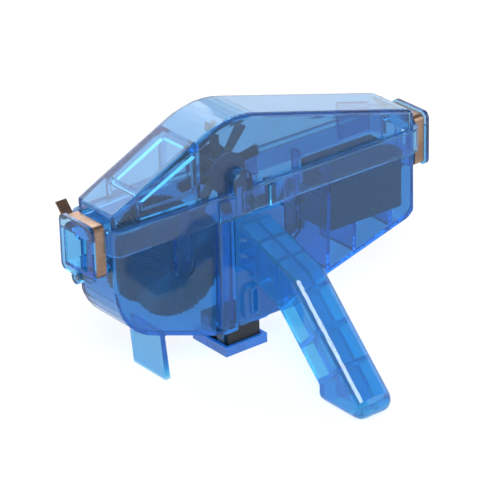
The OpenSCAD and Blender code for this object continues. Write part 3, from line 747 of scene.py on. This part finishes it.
def place_camera(scene, own):
    """Turns the camera round its target."""
    az, el = own.azimuth, own.elevation
    back = Vector((math.sin(az) * math.cos(el), -math.cos(az) * math.cos(el), math.sin(el)))
    right = Vector((math.cos(az), math.sin(az), 0))
    up = back.cross(right)
    across = math.cos(own.roll) * right + math.sin(own.roll) * up
    upward = math.cos(own.roll) * up - math.sin(own.roll) * right
    turn = Matrix((across, upward, back)).transposed().to_4x4()
    lens = bpy.data.cameras.new("camera")
    lens.lens = own.lens
    lens.clip_start = 0.05
    camera = bpy.data.objects.new("camera", lens)
    camera.matrix_world = Matrix.Translation(Vector(own.target) + back * own.distance) @ turn
    scene.collection.objects.link(camera)
    scene.camera = camera


def place_lamps(scene, own):
    """Aims each lamp at the camera's target."""
    for name, spot, width, share in LAMPS:
        lamp = bpy.data.lights.new(name, "AREA")
        lamp.energy = own.key_light * share
        lamp.size = width
        holder = bpy.data.objects.new(name, lamp)
        holder.location = spot
        aim = Vector(own.target) - Vector(spot)
        holder.rotation_euler = aim.to_track_quat("-Z", "Y").to_euler()
        scene.collection.objects.link(holder)


def light_world(scene, own):
    """Plain white to the camera, even light all round, and a dim front in reflections."""
    world = bpy.data.worlds.new("studio")
    world.use_nodes = True
    tree = world.node_tree
    tree.nodes.clear()
    glow = add(tree, "ShaderNodeBackground", Color=WHITE)
    path = tree.nodes.new("ShaderNodeLightPath").outputs
    strength = spread(tree, seen(tree), (0.0, 1.0), (own.world_light, 1.0))
    where = tree.nodes.new("ShaderNodeTexCoord").outputs["Generated"]
    apart = add(tree, "ShaderNodeSeparateXYZ", Vector=where)
    gloss = spread(tree, apart.outputs["Y"], BACKDROP_EDGE, (own.gloss_light, own.backdrop_light))
    dimmed = made(tree, "ShaderNodeMix", Factor=path["Is Glossy Ray"], A=1.0, B=gloss)
    feed(tree, glow.inputs["Strength"], maths(tree, "MULTIPLY", strength, dimmed))
    out = tree.nodes.new("ShaderNodeOutputWorld")
    tree.links.new(glow.outputs[0], out.inputs["Surface"])
    scene.world = world


def lay_floor(scene, own):
    """A pale floor that takes shadows and shows nearly white to the camera."""
    mat, tree, shader, out = new_material("Pale Floor")
    finish(tree, shader, FLOOR_GREY, 0.9, Specular_IOR_Level=0.0)
    white = made(tree, "ShaderNodeEmission", Color=WHITE, Strength=1.0)
    share = maths(tree, "MULTIPLY", seen(tree), own.floor_glow)
    tree.links.new(mix_shaders(tree, share, shader.outputs[0], white), out.inputs["Surface"])
    data = bpy.data.meshes.new("floor")
    square = ((-1, -1), (1, -1), (1, 1), (-1, 1))
    corners = [(x * FLOOR_REACH, y * FLOOR_REACH, 0) for x, y in square]
    data.from_pydata(corners, [], [(0, 1, 2, 3)])
    data.materials.append(mat)
    floor = bpy.data.objects.new("floor", data)
    scene.collection.objects.link(floor)


class CHAINCLEANER_OT_stage(Operator):
    """Set the camera, the lamps, the world and the floor"""

    bl_idname = "chain_cleaner.stage"
    bl_label = "Stage"

    def execute(self, context):
        own = context.scene.chain_cleaner_stage
        scene = context.scene
        scene.view_settings.view_transform = "Standard"
        scene.cycles.max_bounces = LIGHT_BOUNCES
        scene.cycles.glossy_bounces = LIGHT_BOUNCES
        scene.cycles.transmission_bounces = LIGHT_BOUNCES
        scene.cycles.transparent_max_bounces = LIGHT_BOUNCES
        for step in (place_camera, place_lamps, light_world, lay_floor):
            step(scene, own)
        return {"FINISHED"}


class CHAINCLEANER_PT_panel(Panel):
    """Everything that can be made or set on the chain cleaner"""

    bl_label = "Chain Cleaner"
    bl_idname = "CHAINCLEANER_PT_panel"
    bl_space_type = "VIEW_3D"
    bl_region_type = "UI"
    bl_category = "Chain Cleaner"

    def draw(self, context):
        scene = context.scene
        for label, settings, operators in (
                ("Plastics", scene.chain_cleaner_plastics,
                 ("chain_cleaner.case", "chain_cleaner.foot", "chain_cleaner.hubs")),
                ("Latches", None, ("chain_cleaner.bands",)),
                ("Brushes", scene.chain_cleaner_bristles, ("chain_cleaner.bristles",)),
                ("Sponge", scene.chain_cleaner_sponge, ("chain_cleaner.sponge",)),
                ("Stage", scene.chain_cleaner_stage, ("chain_cleaner.stage",))):
            box = self.layout.box()
            box.label(text=label)
            if settings is not None:
                for name in settings.__annotations__:
                    box.prop(settings, name)
            for operator in operators:
                box.operator(operator)


GROUPS = {
    "chain_cleaner_plastics": ChainCleanerPlastics,
    "chain_cleaner_bristles": ChainCleanerBristles,
    "chain_cleaner_sponge": ChainCleanerSponge,
    "chain_cleaner_stage": ChainCleanerStage,
}
OPERATORS = (
    CHAINCLEANER_OT_stage,
    CHAINCLEANER_OT_case,
    CHAINCLEANER_OT_bands,
    CHAINCLEANER_OT_foot,
    CHAINCLEANER_OT_hubs,
    CHAINCLEANER_OT_bristles,
    CHAINCLEANER_OT_sponge,
)


def register():
    for cls in (*GROUPS.values(), *OPERATORS, CHAINCLEANER_PT_panel):
        bpy.utils.register_class(cls)
    for name, cls in GROUPS.items():
        setattr(bpy.types.Scene, name, PointerProperty(type=cls))


def unregister():
    for name in GROUPS:
        delattr(bpy.types.Scene, name)
    for cls in (CHAINCLEANER_PT_panel, *reversed(OPERATORS), *reversed(GROUPS.values())):
        bpy.utils.unregister_class(cls)


def main():
    register()
    bpy.ops.chain_cleaner.stage()
    bpy.ops.chain_cleaner.case()
    bpy.ops.chain_cleaner.bands()
    bpy.ops.chain_cleaner.foot()
    bpy.ops.chain_cleaner.hubs()
    bpy.ops.chain_cleaner.bristles()
    bpy.ops.chain_cleaner.sponge()


if __name__ == "__main__":
    main()
